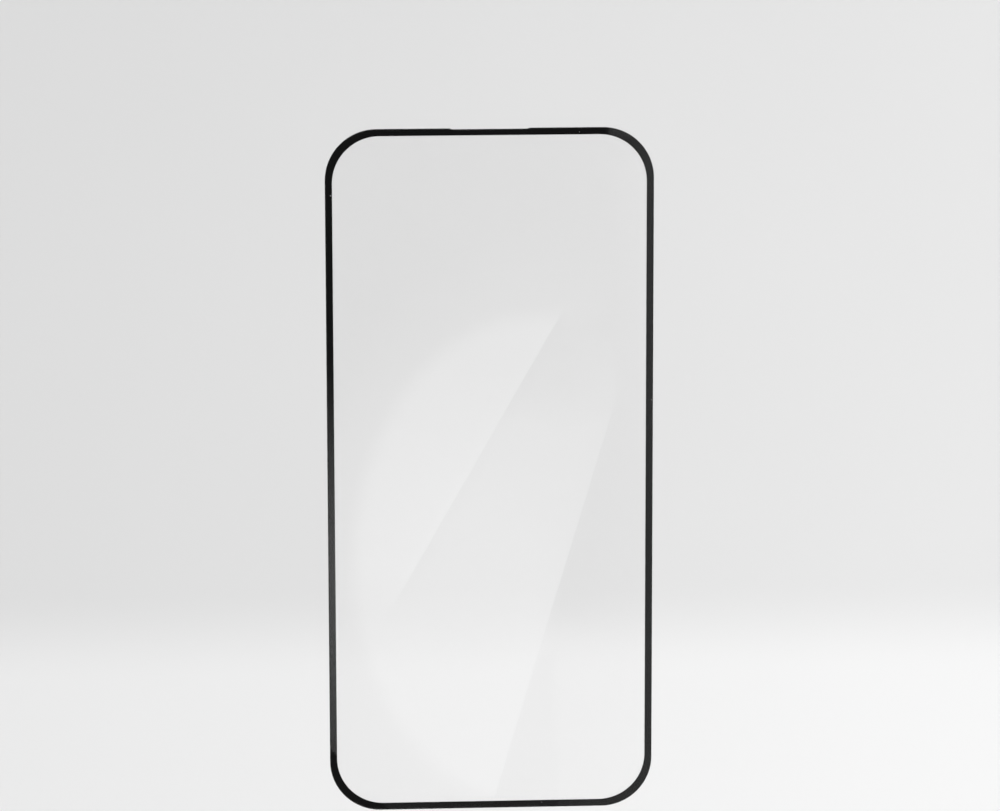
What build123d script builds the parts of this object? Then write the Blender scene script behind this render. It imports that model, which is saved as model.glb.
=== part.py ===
"""Phone screen protector: a sheet of tempered glass with a black border printed on its rear face.

The sheet lies on its printed rear face, with +Z out of its front face and +Y towards the earpiece end.
The origin is the centre of the rear face, and all sizes are in millimetres.
"""

import os
from math import acos, degrees, sin

from build123d import *

# Glass sheet
sheet_width = 69.3
sheet_length = 147.5
corner_radius = 10.85
glass_thickness = 0.33

# Ground edge of the glass: a round on the front, a flat land, and an arris on the rear
edge_land = 0.08
rear_arris = 0.05

# Earpiece notch in the top edge, measured between the middles of its two ramps
notch_width = 16.4
notch_depth = 0.18
ramp_radius = 0.5

# Border printed on the rear face, measured in from the edge of the glass
border_width = 1.5
window_corner_ease = 0.65
ink_thickness = 0.03

# Sizes that follow from the ones above
front_round = glass_thickness - edge_land - rear_arris
ramp_turn = acos(1 - notch_depth / (2 * ramp_radius))
ramp_half_run = ramp_radius * sin(ramp_turn)
window_width = sheet_width - 2 * border_width
window_length = sheet_length - 2 * border_width
window_radius = corner_radius - border_width + window_corner_ease

# Outline of the sheet: the right half, from the middle of the bottom edge round to the notch, and its mirror
with BuildSketch() as sheet_outline:
    with BuildLine():
        side = FilletPolyline(
            (0, -sheet_length / 2),
            (sheet_width / 2, -sheet_length / 2),
            (sheet_width / 2, sheet_length / 2),
            (notch_width / 2 + ramp_half_run, sheet_length / 2),
            radius=corner_radius,
        )
        shoulder = JernArc(side @ 1, side % 1, ramp_radius, degrees(ramp_turn))
        root = JernArc(shoulder @ 1, shoulder % 1, ramp_radius, -degrees(ramp_turn))
        Line(root @ 1, (0, sheet_length / 2 - notch_depth))
        mirror(about=Plane.YZ)
    make_face()

# Glass sheet, with its front edge rounded and its rear edge broken all the way round
with BuildPart() as glass_pane:
    with BuildSketch(Plane.XY.offset(ink_thickness)):
        add(sheet_outline.sketch)
    extrude(amount=glass_thickness)
    fillet(glass_pane.edges().group_by(Axis.Z)[-1], radius=front_round)
    chamfer(glass_pane.edges().group_by(Axis.Z)[0], length=rear_arris)

# Border of black ink, from the rear arris in to the clear window
with BuildPart() as black_border:
    with BuildSketch():
        add(sheet_outline.sketch)
        offset(amount=-rear_arris, mode=Mode.REPLACE)
        RectangleRounded(window_width, window_length, window_radius, mode=Mode.SUBTRACT)
    extrude(amount=ink_thickness)

glass_pane.part.label = "glass_pane"
black_border.part.label = "black_border"

os.makedirs("parts", exist_ok=True)
export_step(glass_pane.part, "parts/glass_pane.step")
export_step(black_border.part, "parts/black_border.step")
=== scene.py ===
"""Looks of a phone screen protector: clear tempered glass over a black printed border."""

import logging
from collections.abc import Mapping, Sequence
from dataclasses import dataclass
from enum import Enum
from math import pi, radians

import bpy
from mathutils import Matrix, Vector


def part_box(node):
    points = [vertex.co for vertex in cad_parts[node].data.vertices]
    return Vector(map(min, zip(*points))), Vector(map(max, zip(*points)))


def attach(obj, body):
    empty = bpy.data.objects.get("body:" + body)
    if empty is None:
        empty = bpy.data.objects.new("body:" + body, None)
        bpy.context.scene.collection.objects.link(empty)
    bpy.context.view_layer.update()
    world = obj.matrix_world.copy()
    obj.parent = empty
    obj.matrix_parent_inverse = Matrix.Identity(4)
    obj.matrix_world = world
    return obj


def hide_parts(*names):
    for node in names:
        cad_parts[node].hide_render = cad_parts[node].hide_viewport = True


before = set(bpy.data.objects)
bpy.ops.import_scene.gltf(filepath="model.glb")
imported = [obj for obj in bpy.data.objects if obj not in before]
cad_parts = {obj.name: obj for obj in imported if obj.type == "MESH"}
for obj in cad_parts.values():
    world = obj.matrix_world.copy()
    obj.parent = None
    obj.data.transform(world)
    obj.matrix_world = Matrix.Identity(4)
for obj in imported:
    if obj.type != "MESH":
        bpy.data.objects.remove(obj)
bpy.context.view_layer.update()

MM = 0.001
MICRON = 1e-6
UP = (0.0, 0.0, 1.0)
LEVEL_PLANE = (1.0, 1.0, 0.0)
BODY = "root"

Pixel = tuple[float, float]
Grey = float

log = logging.getLogger("screen_protector")


class CadNode(str, Enum):
    """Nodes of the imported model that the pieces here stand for."""

    GLASS = "glass_pane"
    BORDER = "black_border"


class Slot(str, Enum):
    """Material slots of the record."""

    GLASS = "tempered_glass"
    INK = "border_ink"


class Attribute(str, Enum):
    """Attributes that the meshes carry for their materials."""

    GROUND_EDGE = "ground_edge"
    LEVEL = "level"


class Socket(str, Enum):
    """Kinds of socket that the node groups take and give."""

    NUMBER = "NodeSocketFloat"
    COUNT = "NodeSocketInt"
    VECTOR = "NodeSocketVector"
    GEOMETRY = "NodeSocketGeometry"
    MATERIAL = "NodeSocketMaterial"


@dataclass(frozen=True)
class Wire:
    """An output socket of a node tree, whose arithmetic adds Math nodes to that tree."""

    canvas: "Canvas"
    socket: bpy.types.NodeSocket

    def math(self, operation: str, other: "Wire | float | None" = None) -> "Wire":
        """Puts this value through a Math node.

        Args:
            operation: Name of the Math node's operation.
            other: Second value, where the operation takes one.

        Returns:
            The Math node's result.
        """
        inputs = {0: self} if other is None else {0: self, 1: other}
        return self.canvas.add("ShaderNodeMath", {"operation": operation}, inputs)

    def __add__(self, other: "Wire | float") -> "Wire":
        """Sum of two values."""
        return self.math("ADD", other)

    def __sub__(self, other: "Wire | float") -> "Wire":
        """Difference of two values."""
        return self.math("SUBTRACT", other)

    def __mul__(self, other: "Wire | float") -> "Wire":
        """Product of two values."""
        return self.math("MULTIPLY", other)

    def __truediv__(self, other: "Wire | float") -> "Wire":
        """Quotient of two values."""
        return self.math("DIVIDE", other)

    def __neg__(self) -> "Wire":
        """The value with its sign turned."""
        return self.math("MULTIPLY", -1.0)

    def flipped(self) -> "Wire":
        """One minus the value."""
        return -self + 1.0

    def between(self, low: "Wire | float", high: "Wire | float") -> "Wire":
        """The value from low, where this mask is 0, to high, where it is 1."""
        return self.canvas.add("ShaderNodeMix", inputs={"Factor": self, "A": low, "B": high})


class Canvas:
    """A node tree that is being drawn, with short calls that add and link its nodes."""

    def __init__(self, tree: bpy.types.NodeTree) -> None:
        """Starts on a tree that exists."""
        self.tree = tree

    @classmethod
    def group(
        cls, name: str, kind: str, takes: Mapping[str, Socket], gives: Mapping[str, Socket]
    ) -> "Canvas":
        """Makes a node group with named sockets.

        Args:
            name: Name of the group.
            kind: Type of tree, for geometry or for shaders.
            takes: Kind of each named input.
            gives: Kind of each named output.

        Returns:
            A canvas on the empty group.
        """
        tree = bpy.data.node_groups.new(name, kind)
        for sockets, side in ((takes, "INPUT"), (gives, "OUTPUT")):
            for label, socket in sockets.items():
                tree.interface.new_socket(name=label, in_out=side, socket_type=socket.value)
        return cls(tree)

    @classmethod
    def material(cls, name: str) -> tuple[bpy.types.Material, "Canvas"]:
        """Makes a material with an empty node tree.

        Args:
            name: Name of the material.

        Returns:
            The material, and a canvas on its tree.
        """
        material = bpy.data.materials.new(name)
        material.use_nodes = True
        material.node_tree.nodes.clear()
        return material, cls(material.node_tree)

    def add(
        self,
        kind: str,
        settings: Mapping[str, object] | None = None,
        inputs: Mapping[str | int, object] | None = None,
        output: str | int = 0,
    ) -> Wire:
        """Adds a node.

        Args:
            kind: The node's type.
            settings: The node's own properties.
            inputs: A wire, or a plain value, for each named or numbered input.
            output: Which output to return.

        Returns:
            The chosen output.
        """
        node = self.tree.nodes.new(kind)
        for name, value in (settings or {}).items():
            setattr(node, name, value)
        for key, value in (inputs or {}).items():
            self.feed(node.inputs[key], value)
        return Wire(self, node.outputs[output])

    def feed(self, socket: bpy.types.NodeSocket, value: object) -> None:
        """Links a wire to an input socket, or sets a plain value on it.

        Args:
            socket: The input socket.
            value: The wire or the plain value.
        """
        if isinstance(value, Wire):
            self.tree.links.new(value.socket, socket)
        else:
            socket.default_value = value

    def end(self, kind: str, name: str, value: Wire) -> None:
        """Adds a node that ends the tree and links one named input of it."""
        self.feed(self.tree.nodes.new(kind).inputs[name], value)

    def arguments(self) -> dict[str, Wire]:
        """Adds a Group Input node and returns its sockets by name."""
        node = self.tree.nodes.new("NodeGroupInput")
        return {socket.name: Wire(self, socket) for socket in node.outputs if socket.name}

    def nested(self, group: bpy.types.NodeTree, inputs: Mapping[str, object]) -> Wire:
        """Places a node group in this tree.

        Args:
            group: The group to place.
            inputs: A wire or a plain value for each of its inputs.

        Returns:
            The group's first output.
        """
        kind = "ShaderNodeGroup" if group.bl_idname == "ShaderNodeTree" else "GeometryNodeGroup"
        return self.add(kind, {"node_tree": group}, inputs)

    def pick(self, index: Wire, options: Sequence["Wire | float"]) -> Wire:
        """Picks one of several values by its index.

        Args:
            index: Which of the options to take, from zero.
            options: The values to choose from.

        Returns:
            The value picked.
        """
        node = self.tree.nodes.new("GeometryNodeIndexSwitch")
        node.data_type = "FLOAT"
        while len(node.index_switch_items) < len(options):
            node.index_switch_items.new()
        self.feed(node.inputs["Index"], index)
        for number, option in enumerate(options):
            self.feed(node.inputs[str(number)], option)
        return Wire(self, node.outputs[0])

    def vector(self, x: "Wire | float" = 0.0, y: "Wire | float" = 0.0, z: "Wire | float" = 0.0) -> Wire:
        """A vector from its three parts, each a wire or a plain number."""
        return self.add("ShaderNodeCombineXYZ", inputs={"X": x, "Y": y, "Z": z})

    def join(self, *parts: Wire) -> Wire:
        """Joins several geometries into one.

        Args:
            *parts: The geometries, in order.

        Returns:
            The joined geometry.
        """
        node = self.tree.nodes.new("GeometryNodeJoinGeometry")
        for part in parts:
            self.feed(node.inputs[0], part)
        return Wire(self, node.outputs[0])

    def noise(self, place: Wire, size: float, detail: float = 2.0) -> Wire:
        """Adds a soft random pattern.

        Args:
            place: Where the pattern is read.
            size: About how large its patches are.
            detail: How many finer layers it has.

        Returns:
            The pattern's value, from 0 to 1.
        """
        return self.add(
            "ShaderNodeTexNoise", inputs={"Vector": place, "Scale": 1.0 / size, "Detail": detail}
        )

    def fade(self, value: Wire, start: float, end: float) -> Wire:
        """Turns a value into a smooth step.

        Args:
            value: The value.
            start: Where the step is still 0, below or above its end.
            end: Where the step has reached 1.

        Returns:
            The step's value, from 0 to 1.
        """
        inputs = {"Value": value, "From Min": start, "From Max": end}
        return self.add("ShaderNodeMapRange", {"interpolation_type": "SMOOTHSTEP"}, inputs)


def grey(level: Grey) -> tuple[float, float, float, float]:
    """A neutral colour of the given level."""
    return (level, level, level, 1.0)


def shown(name: str, data: bpy.types.ID) -> bpy.types.Object:
    """Makes an object and links it to the scene.

    Args:
        name: Name of the object.
        data: Its mesh, light or camera.

    Returns:
        The object.
    """
    made = bpy.data.objects.new(name, data)
    bpy.context.scene.collection.objects.link(made)
    return made


def grown(name: str, tree: bpy.types.NodeTree, sizes: Mapping[str, object]) -> bpy.types.Object:
    """Runs a geometry tree once and keeps its result as a plain mesh.

    Args:
        name: Name of the piece.
        tree: The geometry tree.
        sizes: A value for each named input of the tree.

    Returns:
        The piece, with no modifier left on it.
    """
    seed = bpy.data.meshes.new(f"{name}_seed")
    piece = shown(name, seed)
    modifier = piece.modifiers.new(name, "NODES")
    modifier.node_group = tree
    for item in tree.interface.items_tree:
        if item.in_out == "INPUT":
            modifier[item.identifier] = sizes[item.name]
    evaluated = piece.evaluated_get(bpy.context.evaluated_depsgraph_get())
    mesh = bpy.data.meshes.new_from_object(evaluated)
    mesh.name = name
    piece.modifiers.remove(modifier)
    piece.data = mesh
    bpy.data.meshes.remove(seed)
    return piece


@dataclass(frozen=True)
class SheetOutline:
    """Plan of the sheet: a rectangle with round corners and a shallow notch in its top edge."""

    width: float
    length: float
    corner_radius: float = 10.85 * MM
    notch_width: float = 16.4 * MM
    notch_depth: float = 0.18 * MM
    ramp_radius: float = 0.5 * MM
    corner_steps: int = 48
    ramp_steps: int = 8

    @classmethod
    def from_frame(cls) -> "SheetOutline":
        """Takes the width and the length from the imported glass."""
        low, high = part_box(CadNode.GLASS.value)
        return cls(width=high.x - low.x, length=high.y - low.y)

    def sizes(self) -> dict[str, float | int]:
        """The sizes by the names of the geometry trees' inputs."""
        return {
            "Width": self.width,
            "Length": self.length,
            "Corner Radius": self.corner_radius,
            "Notch Width": self.notch_width,
            "Notch Depth": self.notch_depth,
            "Ramp Radius": self.ramp_radius,
            "Corner Steps": self.corner_steps,
            "Ramp Steps": self.ramp_steps,
        }

    @staticmethod
    def takes() -> dict[str, Socket]:
        """Lists the inputs that every tree with this outline has.

        Returns:
            The kind of each named input.
        """
        lengths = ("Width", "Length", "Corner Radius", "Notch Width", "Notch Depth", "Ramp Radius")
        counts = ("Corner Steps", "Ramp Steps")
        return dict.fromkeys(lengths, Socket.NUMBER) | dict.fromkeys(counts, Socket.COUNT)

    @classmethod
    def group(cls) -> bpy.types.NodeTree:
        """Builds the geometry group that draws the outline, moved inwards by an even inset.

        Eight points, numbered from the bottom right and mirrored left to right, are rounded off. The four
        at the notch form two ramps, whose arcs meet half way, so an inset takes from the outer arc's
        radius what it adds to the inner one's.

        Returns:
            The group, with a closed curve as its output.
        """
        takes = cls.takes() | {"Inset": Socket.NUMBER}
        canvas = Canvas.group("sheet outline", "GeometryNodeTree", takes, {"Curve": Socket.GEOMETRY})
        given = canvas.arguments()
        inset, ramp, depth = given["Inset"], given["Ramp Radius"], given["Notch Depth"]
        half_width = given["Width"] / 2.0 - inset
        half_length = given["Length"] / 2.0 - inset
        corner = given["Corner Radius"] - inset

        turn = (-(depth / (ramp * 2.0)) + 1.0).math("ARCCOSINE")
        lean = (turn / 2.0).math("TANGENT")
        half_run = ramp * turn.math("SINE") - ramp * lean
        ramp_middle = given["Notch Width"] / 2.0 + inset * lean
        arc_share = 0.98
        across = (half_width, half_width, ramp_middle + half_run, ramp_middle - half_run)
        along = (-half_length, half_length, half_length, half_length - depth)
        radii = (corner, corner, (ramp - inset) * arc_share, (ramp + inset) * arc_share)
        steps = [given["Corner Steps"]] * 2 + [given["Ramp Steps"]] * 2
        count = 2 * len(across)

        index = canvas.add("GeometryNodeInputIndex")
        mirrored = index.math("MINIMUM", -index + (count - 1.0))
        side = index.math("LESS_THAN", (count - 1.0) / 2.0) * 2.0 - 1.0
        place = canvas.vector(canvas.pick(mirrored, across) * side, canvas.pick(mirrored, along))
        points = canvas.add("GeometryNodeCurvePrimitiveCircle", inputs={"Resolution": count})
        polygon = canvas.add("GeometryNodeSetPosition", inputs={"Geometry": points, "Position": place})
        curve = canvas.add(
            "GeometryNodeFilletCurve",
            {"mode": "POLY"},
            {
                "Curve": polygon,
                "Count": canvas.pick(mirrored, steps),
                "Radius": canvas.pick(mirrored, radii),
            },
        )
        canvas.end("NodeGroupOutput", "Curve", curve)
        return canvas.tree


@dataclass(frozen=True)
class SheetPiece:
    """A piece that follows the outline of the sheet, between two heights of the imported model."""

    outline: SheetOutline
    outline_group: bpy.types.NodeTree
    base: float
    top: float
    rear_arris: float = 0.05 * MM

    @classmethod
    def from_frame(
        cls, node: CadNode, outline: SheetOutline, outline_group: bpy.types.NodeTree
    ) -> "SheetPiece":
        """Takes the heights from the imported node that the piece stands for.

        Args:
            node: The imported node.
            outline: Sizes of the sheet's plan.
            outline_group: Geometry group that draws the plan.

        Returns:
            The piece's sizes.
        """
        low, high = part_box(node.value)
        return cls(outline=outline, outline_group=outline_group, base=low.z, top=high.z)

    def drawn(self, canvas: Canvas, given: Mapping[str, Wire], inset: "Wire | float") -> Wire:
        """Places the outline group in the piece's own tree.

        Args:
            canvas: The piece's tree.
            given: The tree's inputs.
            inset: How far inside the edge of the sheet the curve runs.

        Returns:
            The closed curve.
        """
        inputs = {name: given[name] for name in SheetOutline.takes()}
        return canvas.nested(self.outline_group, inputs | {"Inset": inset})

    @staticmethod
    def closed(canvas: Canvas, parts: Sequence[Wire], material: Wire) -> None:
        """Joins the faces into one closed mesh with sharp corners, dresses it and ends the tree.

        Args:
            canvas: The piece's tree.
            parts: The faces to join.
            material: The piece's material.
        """
        merge_distance = 1.0 * MICRON
        sharp_angle = radians(25.0)
        whole = canvas.add(
            "GeometryNodeMergeByDistance",
            inputs={"Geometry": canvas.join(*parts), "Distance": merge_distance},
        )
        angle = canvas.add("GeometryNodeInputMeshEdgeAngle", output="Unsigned Angle")
        sharp = angle.math("GREATER_THAN", sharp_angle)
        creased = canvas.add(
            "GeometryNodeSetShadeSmooth",
            {"domain": "EDGE"},
            {"Geometry": whole, "Selection": sharp, "Shade Smooth": False},
        )
        real = canvas.add("GeometryNodeRealizeInstances", inputs={"Geometry": creased})
        dressed = canvas.add("GeometryNodeSetMaterial", inputs={"Geometry": real, "Material": material})
        canvas.end("NodeGroupOutput", "Geometry", dressed)


@dataclass(frozen=True)
class GlassPane(SheetPiece):
    """The sheet of glass, with a round on its front edge, a flat land, and an arris on its rear edge."""

    edge_land: float = 0.08 * MM
    round_steps: int = 10

    def tree(self) -> bpy.types.NodeTree:
        """Builds the geometry tree: the edge's section swept round the outline, and a face at each end.

        Returns:
            The tree, with the sizes and the material as its inputs.
        """
        lengths = ("Base", "Top", "Edge Land", "Rear Arris")
        takes = SheetOutline.takes() | dict.fromkeys(lengths, Socket.NUMBER)
        takes |= {"Round Steps": Socket.COUNT, "Material": Socket.MATERIAL}
        canvas = Canvas.group("glass pane", "GeometryNodeTree", takes, {"Geometry": Socket.GEOMETRY})
        given = canvas.arguments()
        base, top = given["Base"], given["Top"]
        land, arris, steps = given["Edge Land"], given["Rear Arris"], given["Round Steps"]
        front_round = top - base - land - arris
        straight_points = 2.0

        index = canvas.add("GeometryNodeInputIndex")
        angle = (index / steps).math("MINIMUM", 1.0) * (pi / 2)
        past_round = (index - steps).math("MAXIMUM", 0.0).math("MINIMUM", 1.0)
        past_land = (index - steps - 1.0).math("MAXIMUM", 0.0)
        inwards = front_round * angle.math("SINE").flipped() + arris * past_land
        drop = front_round * angle.math("COSINE").flipped() + land * past_round + arris * past_land
        line = canvas.add("GeometryNodeCurvePrimitiveLine")
        points = steps + 1.0 + straight_points
        run = canvas.add("GeometryNodeResampleCurve", inputs={"Curve": line, "Count": points})
        section = canvas.add(
            "GeometryNodeSetPosition",
            inputs={"Geometry": run, "Position": canvas.vector(-inwards, drop - top)},
        )
        strip = canvas.add(
            "GeometryNodeCurveToMesh",
            inputs={"Curve": self.drawn(canvas, given, 0.0), "Profile Curve": section},
        )
        ground = canvas.add(
            "GeometryNodeStoreNamedAttribute",
            {"data_type": "FLOAT", "domain": "FACE"},
            {"Geometry": strip, "Name": Attribute.GROUND_EDGE.value, "Value": 1.0},
        )
        place = canvas.add("GeometryNodeInputPosition")
        level = canvas.add("ShaderNodeSeparateXYZ", inputs={0: place}, output="Z")
        upper = level.math("GREATER_THAN", (base + top) / 2.0)
        front = self.face(canvas, strip, upper, top)
        rear = self.face(canvas, strip, upper.flipped(), base)
        turned = canvas.add("GeometryNodeFlipFaces", inputs={"Mesh": rear})
        self.closed(canvas, (ground, front, turned), given["Material"])
        return canvas.tree

    @staticmethod
    def face(canvas: Canvas, strip: Wire, end: Wire, height: Wire) -> Wire:
        """Fills one open end of the swept edge with a flat face.

        Args:
            canvas: The piece's tree.
            strip: The swept edge.
            end: Which of its two ends to fill.
            height: Height of the face.

        Returns:
            The face.
        """
        both_sides = 2.0
        sides = canvas.add("GeometryNodeInputMeshEdgeNeighbors")
        rim = sides.math("LESS_THAN", both_sides) * end
        curve = canvas.add("GeometryNodeMeshToCurve", inputs={"Mesh": strip, "Selection": rim})
        filled = canvas.add("GeometryNodeFillCurve", {"mode": "NGONS"}, {"Curve": curve})
        flat = canvas.add(
            "GeometryNodeSetShadeSmooth", {"domain": "FACE"}, {"Geometry": filled, "Shade Smooth": False}
        )
        return canvas.add(
            "GeometryNodeTransform", inputs={"Geometry": flat, "Translation": canvas.vector(z=height)}
        )

    def build(self, material: bpy.types.Material) -> bpy.types.Object:
        """Grows the pane and sets it in the frame.

        Args:
            material: The glass.

        Returns:
            The piece.
        """
        sizes = self.outline.sizes() | {
            "Base": self.base,
            "Top": self.top,
            "Edge Land": self.edge_land,
            "Rear Arris": self.rear_arris,
            "Round Steps": self.round_steps,
            "Material": material,
        }
        return placed(grown("clear_glass", self.tree(), sizes), CadNode.GLASS)


@dataclass(frozen=True)
class BlackBorder(SheetPiece):
    """The border of ink on the rear of the glass, from the arris in to the clear window."""

    border_width: float = 1.5 * MM
    window_corner_ease: float = 0.65 * MM
    bite: float = 2.0 * MICRON

    def tree(self) -> bpy.types.NodeTree:
        """Builds the geometry tree: the ring between the outline and the window, raised to its thickness.

        Returns:
            The tree, with the sizes and the material as its inputs.
        """
        lengths = ("Base", "Top", "Rear Arris", "Window Width", "Window Length", "Window Radius")
        takes = SheetOutline.takes() | dict.fromkeys(lengths, Socket.NUMBER)
        takes |= {"Material": Socket.MATERIAL}
        canvas = Canvas.group("black border", "GeometryNodeTree", takes, {"Geometry": Socket.GEOMETRY})
        given = canvas.arguments()
        rectangle = canvas.add(
            "GeometryNodeCurvePrimitiveQuadrilateral",
            inputs={"Width": given["Window Width"], "Height": given["Window Length"]},
        )
        window = canvas.add(
            "GeometryNodeFilletCurve",
            {"mode": "POLY"},
            {"Curve": rectangle, "Count": given["Corner Steps"], "Radius": given["Window Radius"]},
        )
        edges = canvas.join(self.drawn(canvas, given, given["Rear Arris"]), window)
        ring = canvas.add("GeometryNodeFillCurve", {"mode": "TRIANGLES"}, {"Curve": edges})
        base = canvas.add(
            "GeometryNodeTransform",
            inputs={"Geometry": ring, "Translation": canvas.vector(z=given["Base"])},
        )
        raised = canvas.add(
            "GeometryNodeExtrudeMesh",
            {"mode": "FACES"},
            {
                "Mesh": base,
                "Offset": UP,
                "Offset Scale": given["Top"] - given["Base"],
                "Individual": False,
            },
        )
        underside = canvas.add("GeometryNodeFlipFaces", inputs={"Mesh": base})
        self.closed(canvas, (raised, underside), given["Material"])
        return canvas.tree

    def build(self, material: bpy.types.Material) -> bpy.types.Object:
        """Grows the border and sets it in the frame, with its top a touch inside the glass.

        Args:
            material: The ink.

        Returns:
            The piece.
        """
        sizes = self.outline.sizes() | {
            "Base": self.base,
            "Top": self.top + self.bite,
            "Rear Arris": self.rear_arris,
            "Window Width": self.outline.width - 2 * self.border_width,
            "Window Length": self.outline.length - 2 * self.border_width,
            "Window Radius": self.outline.corner_radius - self.border_width + self.window_corner_ease,
            "Material": material,
        }
        return placed(grown("printed_border", self.tree(), sizes), CadNode.BORDER)


def placed(piece: bpy.types.Object, node: CadNode) -> bpy.types.Object:
    """Sets a piece in the frame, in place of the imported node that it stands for.

    Args:
        piece: The finished piece.
        node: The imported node.

    Returns:
        The same piece.
    """
    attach(piece, BODY)
    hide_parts(node.value)
    return piece


@dataclass(frozen=True)
class Speck:
    """A grain of dust, by its place on the sheet and its size."""

    x: float
    y: float
    radius: float


@dataclass(frozen=True)
class Dust:
    """The few grains of dust on the sheet, as a mask that both materials read."""

    specks: tuple[Speck, ...] = (
        Speck(-33.45 * MM, 59.8 * MM, 0.22 * MM),
        Speck(18.9 * MM, 72.8 * MM, 0.14 * MM),
        Speck(10.9 * MM, -72.7 * MM, 0.14 * MM),
        Speck(34.3 * MM, 15.4 * MM, 0.16 * MM),
    )
    rag_size: float = 0.15 * MM
    rag_depth: float = 0.08 * MM
    core_share: float = 0.6

    def group(self) -> bpy.types.NodeTree:
        """Builds the shader group that gives the mask of the dust.

        Returns:
            The group, with the object's coordinates as its input and the mask as its output.
        """
        canvas = Canvas.group(
            "dust specks", "ShaderNodeTree", {"Vector": Socket.VECTOR}, {"Mask": Socket.NUMBER}
        )
        place = canvas.arguments()["Vector"]
        ragged = canvas.noise(place, self.rag_size) * self.rag_depth
        flat = canvas.add("ShaderNodeVectorMath", {"operation": "MULTIPLY"}, {0: place, 1: LEVEL_PLANE})
        mask: Wire | None = None
        for speck in self.specks:
            away = canvas.add(
                "ShaderNodeVectorMath",
                {"operation": "DISTANCE"},
                {0: flat, 1: (speck.x, speck.y, 0.0)},
                "Value",
            )
            grain = canvas.fade(away + ragged, speck.radius, speck.radius * self.core_share)
            mask = grain if mask is None else mask.math("MAXIMUM", grain)
        canvas.end("NodeGroupOutput", "Mask", mask)
        return canvas.tree


@dataclass(frozen=True)
class TemperedGlassFinish:
    """Clear polished glass with a satin ground edge, a trace of waviness and the dust.

    The coating leaves only a share of bare glass's reflection.
    """

    refraction: float = 1.5
    coating: Grey = 0.6
    polish: tuple[float, float] = (0.004, 0.010)
    ground_roughness: float = 0.14
    dust_roughness: float = 0.5
    dust_grey: Grey = 0.75
    polish_patch: float = 9.0 * MM
    wave_length: float = 40.0 * MM
    wave_height: float = 1.0 * MICRON
    wave_detail: float = 0.0

    def material(self, dust: bpy.types.NodeTree) -> bpy.types.Material:
        """Builds the material, which lets lamp light and light scattered by the floor straight through.

        Args:
            dust: Shader group that gives the mask of the dust.

        Returns:
            The material.
        """
        material, canvas = Canvas.material("polished_glass")
        place = canvas.add("ShaderNodeTexCoord", output="Object")
        specks = canvas.nested(dust, {"Vector": place})
        edge = {"attribute_name": Attribute.GROUND_EDGE.value}
        ground = canvas.add("ShaderNodeAttribute", edge, output="Fac")

        smooth, dull = self.polish
        roughness = canvas.noise(place, self.polish_patch).between(smooth, dull)
        roughness = roughness.math("MAXIMUM", ground * self.ground_roughness)
        roughness = roughness.math("MAXIMUM", specks * self.dust_roughness)
        waves = canvas.noise(place, self.wave_length, self.wave_detail)
        normal = canvas.add("ShaderNodeBump", inputs={"Height": waves, "Distance": self.wave_height})
        shader = canvas.add(
            "ShaderNodeBsdfPrincipled",
            inputs={
                "Base Color": specks.between(1.0, self.dust_grey),
                "Roughness": roughness,
                "IOR": self.refraction,
                "Specular Tint": grey(self.coating),
                "Transmission Weight": 1.0,
                "Normal": normal,
            },
        )
        clear = canvas.add("ShaderNodeBsdfTransparent")
        for ray in ("Is Shadow Ray", "Is Diffuse Ray"):
            passing = canvas.add("ShaderNodeLightPath", output=ray)
            shader = canvas.add("ShaderNodeMixShader", inputs={0: passing, 1: shader, 2: clear})
        canvas.end("ShaderNodeOutputMaterial", "Surface", shader)
        return material


@dataclass(frozen=True)
class BorderInkFinish:
    """Dense black ink, a little uneven as screen print is, with the dust on it."""

    black: tuple[Grey, Grey] = (0.0016, 0.0030)
    dust_grey: Grey = 0.15
    gloss: tuple[float, float] = (0.008, 0.02)
    dust_roughness: float = 0.8
    print_grain: float = 0.5 * MM
    grain_detail: float = 4.0
    specular: float = 0.45

    def material(self, dust: bpy.types.NodeTree) -> bpy.types.Material:
        """Builds the material.

        Args:
            dust: Shader group that gives the mask of the dust.

        Returns:
            The material.
        """
        material, canvas = Canvas.material("black_print")
        place = canvas.add("ShaderNodeTexCoord", output="Object")
        specks = canvas.nested(dust, {"Vector": place})
        grain = canvas.noise(place, self.print_grain, self.grain_detail)

        tone = specks.between(grain.between(*self.black), self.dust_grey)
        roughness = grain.between(*self.gloss).math("MAXIMUM", specks * self.dust_roughness)
        shader = canvas.add(
            "ShaderNodeBsdfPrincipled",
            inputs={
                "Base Color": tone,
                "Roughness": roughness,
                "Specular IOR Level": self.specular,
            },
        )
        canvas.end("ShaderNodeOutputMaterial", "Surface", shader)
        return material


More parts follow.
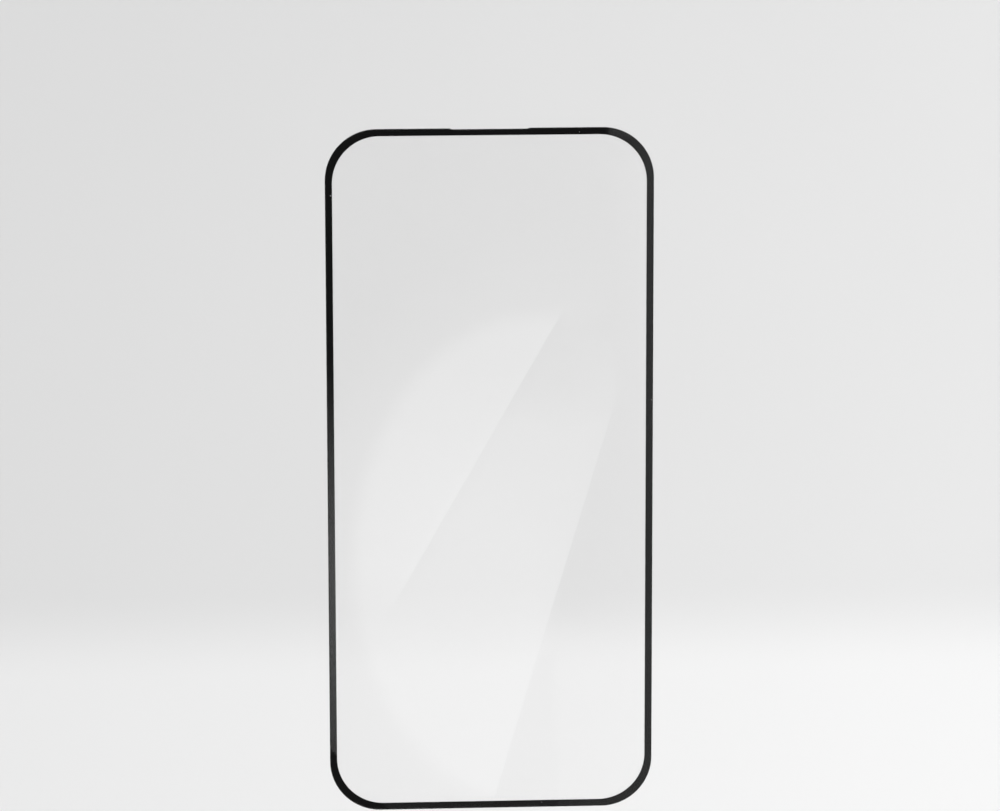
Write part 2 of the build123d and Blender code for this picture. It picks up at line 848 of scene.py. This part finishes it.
@dataclass(frozen=True)
class FloorFinish:
    """Pale matt floor, made a little lighter towards the viewer by painted light and darker well away
    from the sheet by painted shade.
    """

    far: Grey = 0.745
    # Painted light: the lighter tone towards the viewer, and where the floor turns to it
    near: Grey = 0.845
    turn: tuple[float, float] = (-24.0 * MM, -45.0 * MM)
    # Painted shade: share of the tone left well away from the sheet, and the distances over which it
    # falls
    dull_share: float = 0.76
    dull_from: tuple[float, float] = (160.0 * MM, 520.0 * MM)
    mottle: tuple[float, float] = (0.99, 1.01)
    mottle_size: float = 60.0 * MM
    roughness: float = 0.9
    specular: float = 0.0

    def material(self) -> bpy.types.Material:
        """Builds the material.

        Returns:
            The material.
        """
        material, canvas = Canvas.material("pale_floor")
        place = canvas.add("ShaderNodeTexCoord", output="Object")
        along = canvas.add("ShaderNodeSeparateXYZ", inputs={0: place}, output="Y")
        away = canvas.add("ShaderNodeVectorMath", {"operation": "LENGTH"}, {0: place}, "Value")
        # Painted light: the floor's tone turns lighter towards the viewer
        tone = canvas.fade(along, *self.turn).between(self.far, self.near)
        # Painted shade: the tone falls off well away from the sheet, as the lamps' light would
        tone = tone * canvas.fade(away, *self.dull_from).between(1.0, self.dull_share)
        tone = tone * canvas.noise(place, self.mottle_size).between(*self.mottle)
        shader = canvas.add(
            "ShaderNodeBsdfPrincipled",
            inputs={
                "Base Color": tone,
                "Roughness": self.roughness,
                "Specular IOR Level": self.specular,
            },
        )
        canvas.end("ShaderNodeOutputMaterial", "Surface", shader)
        return material


@dataclass(frozen=True)
class PhotoCamera:
    """Camera that looks down on the lying sheet from the side that the photograph is taken from."""

    image_width: int = 1000
    image_height: int = 811
    focal_pixels: float = 4400.0
    sensor_width_mm: float = 36.0
    tilt: float = radians(10.68)
    swing: float = radians(3.38)
    roll: float = radians(0.75)
    offset: tuple[float, float, float] = (2.05 * MM, 14.29 * MM, 936.2 * MM)

    def axes(self) -> Matrix:
        """Works out the turn from the camera's axes, right, up and back, to the sheet's.

        Returns:
            The turn as a matrix.
        """
        turn = Matrix.Rotation(self.roll, 3, "Z")
        turn = turn @ Matrix.Rotation(self.swing, 3, "Y") @ Matrix.Rotation(self.tilt, 3, "X")
        return turn.transposed()

    def eye(self) -> Vector:
        """Where the camera stands."""
        return self.axes() @ Vector(self.offset)

    def mirrored(self, pixel: Pixel, height: float) -> Vector:
        """Finds the point that the front of the glass mirrors into a pixel.

        Args:
            pixel: A place in the photograph.
            height: Height of the point above the floor.

        Returns:
            The point.
        """
        right = (pixel[0] - self.image_width / 2) / self.focal_pixels
        up = (self.image_height / 2 - pixel[1]) / self.focal_pixels
        ray = self.axes() @ Vector((right, up, -1.0))
        eye = self.eye()
        on_glass = eye - ray * (eye.z / ray.z)
        bounced = Vector((ray.x, ray.y, -ray.z))
        return on_glass + bounced * (height / bounced.z)

    def build(self) -> None:
        """Makes the camera and gives it to the scene."""
        data = bpy.data.cameras.new("photo_camera")
        data.sensor_width = self.sensor_width_mm
        data.lens = self.focal_pixels / self.image_width * self.sensor_width_mm
        camera = shown("photo_camera", data)
        camera.matrix_world = Matrix.Translation(self.eye()) @ self.axes().to_4x4()
        bpy.context.scene.camera = camera


@dataclass(frozen=True)
class SoftLight:
    """A round light high above the sheet, which the glass mirrors as a bright patch with a soft rim."""

    name: str
    centre: Pixel
    reach: Pixel
    level: float
    rim: tuple[float, float]

    def build(self, camera: PhotoCamera, height: float) -> bpy.types.Object:
        """Makes the light's card, where the glass mirrors it into its place in the photograph.

        Args:
            camera: The photograph's camera.
            height: Height of the card.

        Returns:
            The card.
        """
        middle = camera.mirrored(self.centre, height)
        right = camera.mirrored((self.centre[0] + self.reach[0], self.centre[1]), height) - middle
        up = camera.mirrored((self.centre[0], self.centre[1] - self.reach[1]), height) - middle
        card = reflected_only(square(self.name, self.rim[1], self.material()))
        card.matrix_world = Matrix((right, up, Vector(UP))).transposed().to_4x4()
        card.location = middle
        return card

    def material(self) -> bpy.types.Material:
        """Builds light that is even in the middle, falls off over the rim and adds to what is behind it.

        Returns:
            The material.
        """
        material, canvas = Canvas.material(self.name)
        place = canvas.add("ShaderNodeTexCoord", output="Object")
        away = canvas.add("ShaderNodeVectorMath", {"operation": "LENGTH"}, {0: place}, "Value")
        strength = canvas.fade(away, self.rim[1], self.rim[0]) * self.level
        light = canvas.add("ShaderNodeEmission", inputs={"Strength": strength})
        clear = canvas.add("ShaderNodeBsdfTransparent")
        both = canvas.add("ShaderNodeAddShader", inputs={0: light, 1: clear})
        canvas.end("ShaderNodeOutputMaterial", "Surface", both)
        return material


class CardKind(Enum):
    """What a card does: a scrim dims the light behind it, and a flag covers it with a glow of its own."""

    SCRIM = "scrim"
    FLAG = "flag"


@dataclass(frozen=True)
class Rail:
    """A straight side of a card, from a pixel at its head to one at its foot."""

    head: Pixel
    foot: Pixel

    def at(self, row: float) -> Pixel:
        """The rail's pixel in a row of the photograph."""
        share = (row - self.head[1]) / (self.foot[1] - self.head[1])
        return (self.head[0] + share * (self.foot[0] - self.head[0]), row)


@dataclass(frozen=True)
class Rung:
    """A step of a card: its row in the photograph, and the card's level at its left and right ends."""

    row: float
    left: Grey
    right: Grey


@dataclass(frozen=True)
class Card:
    """A card high above the sheet, between two rails, whose level changes evenly from rung to rung.

    The level is the share of light that a scrim lets through, and the glow of a flag.
    """

    name: str
    kind: CardKind
    left: Rail
    right: Rail
    rungs: tuple[Rung, ...]

    def build(self, camera: PhotoCamera, height: float) -> bpy.types.Object:
        """Makes the card, where the glass mirrors it into its place in the photograph.

        Args:
            camera: The photograph's camera.
            height: Height of the card.

        Returns:
            The card.
        """
        pixels = [rail.at(rung.row) for rung in self.rungs for rail in (self.left, self.right)]
        places = [camera.mirrored(pixel, height) for pixel in pixels]
        faces = [(start, start + 1, start + 3, start + 2) for start in range(0, len(places) - 2, 2)]
        card = reflected_only(panel(self.name, places, faces, self.material()))
        level = card.data.attributes.new(Attribute.LEVEL.value, "FLOAT", "POINT")
        level.data.foreach_set("value", [end for rung in self.rungs for end in (rung.left, rung.right)])
        return card

    def material(self) -> bpy.types.Material:
        """Builds the scrim's share of the light behind it, or the flag's own light.

        Returns:
            The material.
        """
        material, canvas = Canvas.material(self.name)
        level = canvas.add("ShaderNodeAttribute", {"attribute_name": Attribute.LEVEL.value}, output="Fac")
        if self.kind is CardKind.SCRIM:
            shader = canvas.add("ShaderNodeBsdfTransparent", inputs={"Color": level})
        else:
            shader = canvas.add("ShaderNodeEmission", inputs={"Strength": level})
        canvas.end("ShaderNodeOutputMaterial", "Surface", shader)
        return material


def panel(
    name: str,
    corners: Sequence[Sequence[float]],
    faces: Sequence[Sequence[int]],
    material: bpy.types.Material,
) -> bpy.types.Object:
    """Makes a flat panel of the studio.

    Args:
        name: Name of the panel.
        corners: Its corners.
        faces: The corners of each of its faces.
        material: Its material.

    Returns:
        The panel.
    """
    mesh = bpy.data.meshes.new(name)
    mesh.from_pydata([tuple(corner) for corner in corners], [], faces)
    mesh.materials.append(material)
    return shown(name, mesh)


def square(name: str, half: float, material: bpy.types.Material) -> bpy.types.Object:
    """Makes a square panel about the origin.

    Args:
        name: Name of the panel.
        half: Half the length of its sides.
        material: Its material.

    Returns:
        The panel.
    """
    corners = [(-half, -half, 0.0), (half, -half, 0.0), (half, half, 0.0), (-half, half, 0.0)]
    return panel(name, corners, [(0, 1, 2, 3)], material)


def reflected_only(card: bpy.types.Object) -> bpy.types.Object:
    """Hides a card from everything but reflections.

    Args:
        card: The card.

    Returns:
        The same card.
    """
    card.active_material.cycles.emission_sampling = "NONE"
    card.visible_camera = False
    card.visible_diffuse = False
    card.visible_shadow = False
    return card


@dataclass(frozen=True)
class Lamp:
    """A large soft lamp that faces the sheet and isn't mirrored in it."""

    name: str
    place: tuple[float, float, float]
    size: float
    watts: float

    def build(self) -> None:
        """Makes the lamp."""
        data = bpy.data.lights.new(self.name, "AREA")
        data.size = self.size
        data.energy = self.watts
        lamp = shown(self.name, data)
        lamp.location = self.place
        lamp.rotation_euler = Vector(self.place).to_track_quat("Z", "Y").to_euler()
        lamp.visible_camera = False
        lamp.visible_glossy = False
        lamp.visible_transmission = False


# Edges of the light and dark fields that the glass mirrors, in the photograph's pixels
PANE_LEFT = Rail(head=(338.0, 560.0), foot=(338.0, 850.0))
PANE_RIGHT = Rail(head=(660.0, 60.0), foot=(660.0, 850.0))
LONG_SLANT = Rail(head=(583.0, 275.0), foot=(385.0, 620.0))
SHORT_SLANT = Rail(head=(617.0, 395.0), foot=(478.0, 850.0))
TOP_STEP = Rail(head=(607.0, 60.0), foot=(617.0, 395.0))
WEDGE_SIDE = Rail(head=(554.0, 655.0), foot=(560.0, 850.0))
CORNER_LEFT = Rail(head=(280.0, 738.0), foot=(280.0, 870.0))
CORNER_SLANT = Rail(head=(320.5, 738.0), foot=(447.5, 870.0))
LOW_RIGHT = Rail(head=(500.0, 797.0), foot=(500.0, 870.0))

# Middles and reaches of the round lights that it mirrors, in the same pixels
HALO_CENTRE: Pixel = (450.0, 625.0)
HALO_REACH: Pixel = (158.0, 180.0)
ROUND_CENTRE: Pixel = (533.0, 562.0)
ROUND_REACH: Pixel = (178.0, 246.0)


@dataclass(frozen=True)
class Studio:
    """Pale floor, soft lamps, a dim ceiling and the lights that the glass mirrors."""

    floor_half_size: float = 3.0
    floor_gap: float = 10.0 * MICRON
    ceiling: Grey = 0.08
    ceiling_rise: tuple[float, float] = (0.60, 0.93)
    panels: tuple[Grey, Grey] = (0.48, 1.03)
    panel_rhythm: float = 1.7
    panel_edge: tuple[float, float] = (0.47, 0.53)
    card_height: float = 1.40
    card_step: float = 0.01

    lamps: tuple[Lamp, ...] = (
        Lamp("key_lamp", place=(0.30, -1.00, 1.00), size=1.0, watts=4.7),
        Lamp("side_lamp", place=(0.70, 0.00, 0.75), size=0.8, watts=6.2),
        Lamp("fill_lamp", place=(-1.30, 0.90, 1.20), size=1.0, watts=3.0),
    )
    cards: tuple[SoftLight | Card, ...] = (
        SoftLight("light_halo", HALO_CENTRE, HALO_REACH, level=0.94, rim=(0.45, 1.75)),
        Card(
            "halo_scrim",
            CardKind.SCRIM,
            PANE_LEFT,
            PANE_RIGHT,
            (
                Rung(row=600.0, left=1.00, right=1.00),
                Rung(row=650.0, left=0.05, right=0.05),
                Rung(row=850.0, left=0.05, right=0.05),
            ),
        ),
        SoftLight("light_rim", ROUND_CENTRE, ROUND_REACH, level=0.32, rim=(1.00, 1.40)),
        SoftLight("round_light", ROUND_CENTRE, ROUND_REACH, level=0.92, rim=(0.94, 1.06)),
        Card(
            "slant_scrim",
            CardKind.SCRIM,
            LONG_SLANT,
            PANE_RIGHT,
            (
                Rung(row=275.0, left=1.00, right=1.00),
                Rung(row=310.0, left=0.90, right=0.50),
                Rung(row=326.0, left=0.15, right=0.25),
                Rung(row=370.0, left=0.25, right=0.55),
                Rung(row=425.0, left=0.72, right=0.75),
                Rung(row=620.0, left=0.78, right=0.72),
            ),
        ),
        Card(
            "left_scrim",
            CardKind.SCRIM,
            PANE_LEFT,
            LONG_SLANT,
            (Rung(row=570.0, left=1.00, right=1.00), Rung(row=620.0, left=0.80, right=0.79)),
        ),
        Card(
            "low_scrim",
            CardKind.SCRIM,
            PANE_LEFT,
            PANE_RIGHT,
            (
                Rung(row=620.0, left=0.80, right=0.72),
                Rung(row=660.0, left=0.76, right=0.76),
                Rung(row=850.0, left=0.74, right=0.74),
            ),
        ),
        Card(
            "corner_flag",
            CardKind.FLAG,
            CORNER_LEFT,
            CORNER_SLANT,
            (Rung(row=738.0, left=0.09, right=0.09), Rung(row=870.0, left=0.09, right=0.10)),
        ),
        Card(
            "low_flag",
            CardKind.FLAG,
            CORNER_SLANT,
            LOW_RIGHT,
            (Rung(row=797.0, left=0.22, right=0.22), Rung(row=870.0, left=0.22, right=0.22)),
        ),
        Card(
            "top_flag",
            CardKind.FLAG,
            TOP_STEP,
            PANE_RIGHT,
            (
                Rung(row=60.0, left=0.50, right=0.50),
                Rung(row=133.0, left=0.50, right=0.50),
                Rung(row=140.0, left=0.12, right=0.72),
                Rung(row=185.0, left=0.12, right=0.60),
                Rung(row=395.0, left=0.20, right=0.58),
            ),
        ),
        Card(
            "side_flag",
            CardKind.FLAG,
            SHORT_SLANT,
            PANE_RIGHT,
            (
                Rung(row=395.0, left=0.20, right=0.58),
                Rung(row=612.0, left=0.06, right=0.48),
                Rung(row=640.0, left=0.36, right=0.54),
                Rung(row=850.0, left=0.26, right=0.48),
            ),
        ),
        Card(
            "wedge_flag",
            CardKind.FLAG,
            SHORT_SLANT,
            WEDGE_SIDE,
            (
                Rung(row=655.0, left=0.10, right=0.10),
                Rung(row=690.0, left=0.08, right=0.08),
                Rung(row=795.0, left=0.10, right=0.10),
                Rung(row=800.0, left=0.20, right=0.24),
                Rung(row=850.0, left=0.20, right=0.24),
            ),
        ),
    )

    def build(self, camera: PhotoCamera) -> None:
        """Builds the whole studio.

        Args:
            camera: The photograph's camera, which the mirrored lights are placed by.
        """
        self.build_floor()
        self.build_world()
        for lamp in self.lamps:
            lamp.build()
        for step, card in enumerate(self.cards):
            card.build(camera, self.card_height - step * self.card_step)

    def build_floor(self) -> None:
        """Lays the floor just under the sheet."""
        floor = square("floor", self.floor_half_size, FloorFinish().material())
        floor.location.z = -self.floor_gap

    def build_world(self) -> None:
        """Lights the room from all round by lighter and darker panels, and leaves it dim overhead."""
        world = bpy.data.worlds.new("studio")
        world.use_nodes = True
        world.node_tree.nodes.clear()
        canvas = Canvas(world.node_tree)
        direction = canvas.add("ShaderNodeTexCoord", output="Generated")
        rise = canvas.add("ShaderNodeSeparateXYZ", inputs={0: direction}, output="Z")
        bands = canvas.add(
            "ShaderNodeTexWave",
            {"bands_direction": "DIAGONAL"},
            {"Vector": direction, "Scale": self.panel_rhythm},
            "Fac",
        )
        panels = canvas.fade(bands, *self.panel_edge).between(*self.panels)
        level = canvas.fade(rise, *self.ceiling_rise).between(panels, self.ceiling)
        light = canvas.add("ShaderNodeBackground", inputs={"Color": grey(1.0), "Strength": level})
        canvas.end("ShaderNodeOutputWorld", "Surface", light)
        bpy.context.scene.world = world


def main() -> None:
    """Builds the glass, its border, the camera and the studio, and reports each piece."""
    logging.basicConfig(level=logging.INFO, format="%(name)s: %(message)s")
    bpy.context.scene.view_settings.view_transform = "Standard"
    dust = Dust().group()
    outline = SheetOutline.from_frame()
    outline_group = SheetOutline.group()
    pane = GlassPane.from_frame(CadNode.GLASS, outline, outline_group)
    border = BlackBorder.from_frame(CadNode.BORDER, outline, outline_group)
    pieces = (
        pane.build(TemperedGlassFinish().material(dust)),
        border.build(BorderInkFinish().material(dust)),
    )
    for piece in pieces:
        log.info("%s: %d faces", piece.name, len(piece.data.polygons))
    camera = PhotoCamera()
    camera.build()
    Studio().build(camera)


if __name__ == "__main__":
    main()
